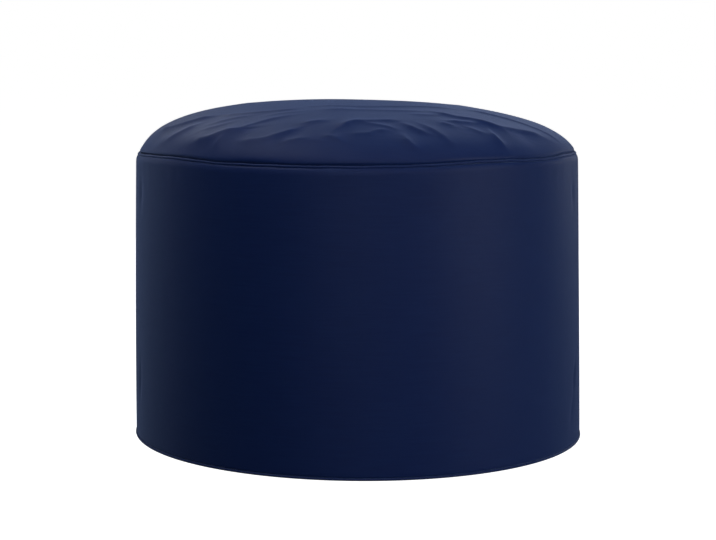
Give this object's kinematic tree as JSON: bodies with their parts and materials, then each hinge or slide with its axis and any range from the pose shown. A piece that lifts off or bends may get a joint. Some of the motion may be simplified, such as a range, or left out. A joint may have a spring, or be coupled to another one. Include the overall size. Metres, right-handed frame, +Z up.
{
  "type": "round bean-filled footstool",
  "caption": "Low round footstool: a bean-filled cloth drum with a softly crowned, wrinkled top, flat base and thin welted seams.",
  "frame": {"origin": "middle of the flat base, on the surface that the footstool stands on", "axes": "+Z up through the middle of the drum, -Y towards the front as pictured, +X to the viewer's right"},
  "size_m": [0.5014, 0.5014, 0.3719],
  "materials": {
    "cover_cloth": "plain-woven synthetic cloth with a soft sheen, dark navy",
    "welt_cloth": "the same dark navy cloth, folded and sewn tight"
  },
  "bodies": {
    "root": {"base_panel": "cover_cloth", "base_welt": "welt_cloth", "side_band": "cover_cloth", "top_welt": "welt_cloth", "top_panel": "cover_cloth"}
  },
  "joints": []
}
